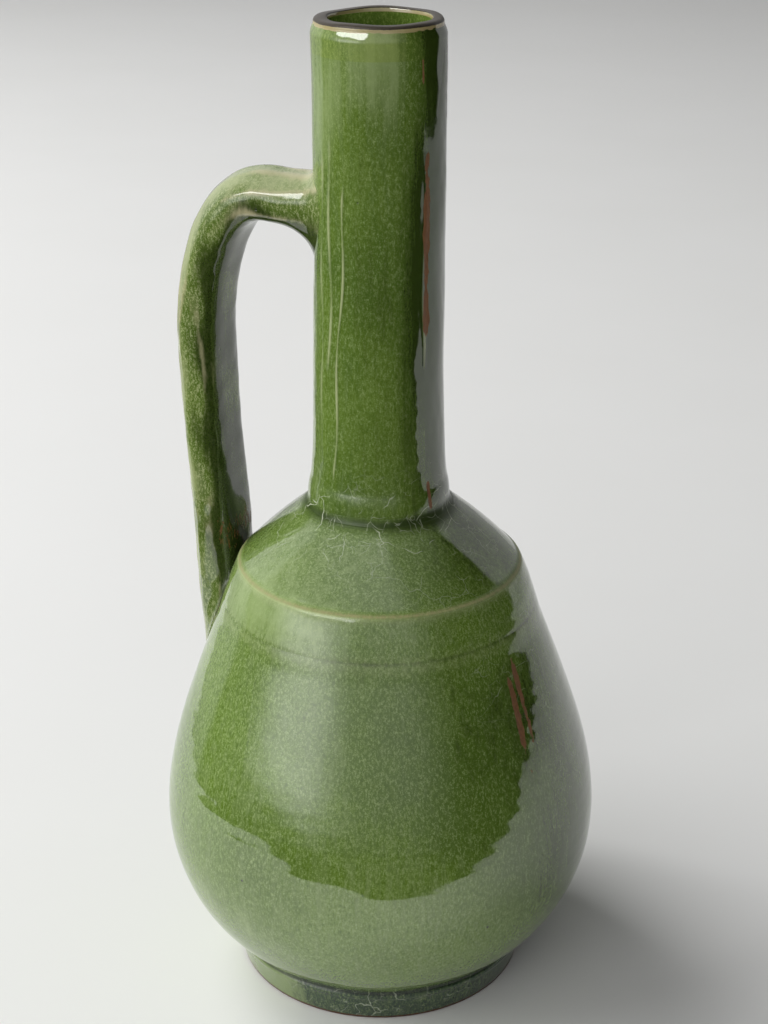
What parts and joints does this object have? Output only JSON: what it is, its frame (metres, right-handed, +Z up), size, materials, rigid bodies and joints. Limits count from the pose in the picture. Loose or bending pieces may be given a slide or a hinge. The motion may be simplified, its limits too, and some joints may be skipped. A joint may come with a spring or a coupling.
{
  "type": "ceramic pitcher",
  "caption": "Tall green-glazed clay pitcher with a round belly on a low foot, a ridged shoulder, a long narrow neck and a strap handle from neck to belly.",
  "frame": {"origin": "centre of the foot's underside, on the axis of the body", "axes": "+Z up along the axis of the neck, -X towards the handle, Y across the handle"},
  "size_m": [0.176, 0.176, 0.39],
  "materials": {
    "bare_clay": "matt unglazed earthenware",
    "glaze_foot": "glossy dark green glaze, crazed",
    "glaze_body": "glossy mottled green glaze",
    "glaze_neck": "glossy mottled green glaze with runs",
    "glaze_lip": "thin worn glaze over brown clay",
    "glaze_handle": "glossy green glaze, worn pale on its ridges"
  },
  "bodies": {
    "root": {"base": "bare_clay", "foot_ring": "glaze_foot", "lower_belly": "glaze_body", "upper_belly": "glaze_body", "shoulder_band": "glaze_body", "shoulder": "glaze_body", "neck_collar": "glaze_body", "neck": "glaze_neck", "lip": "glaze_lip", "handle_root": "glaze_handle", "handle": "glaze_handle", "handle_tail": "glaze_handle"}
  },
  "joints": []
}
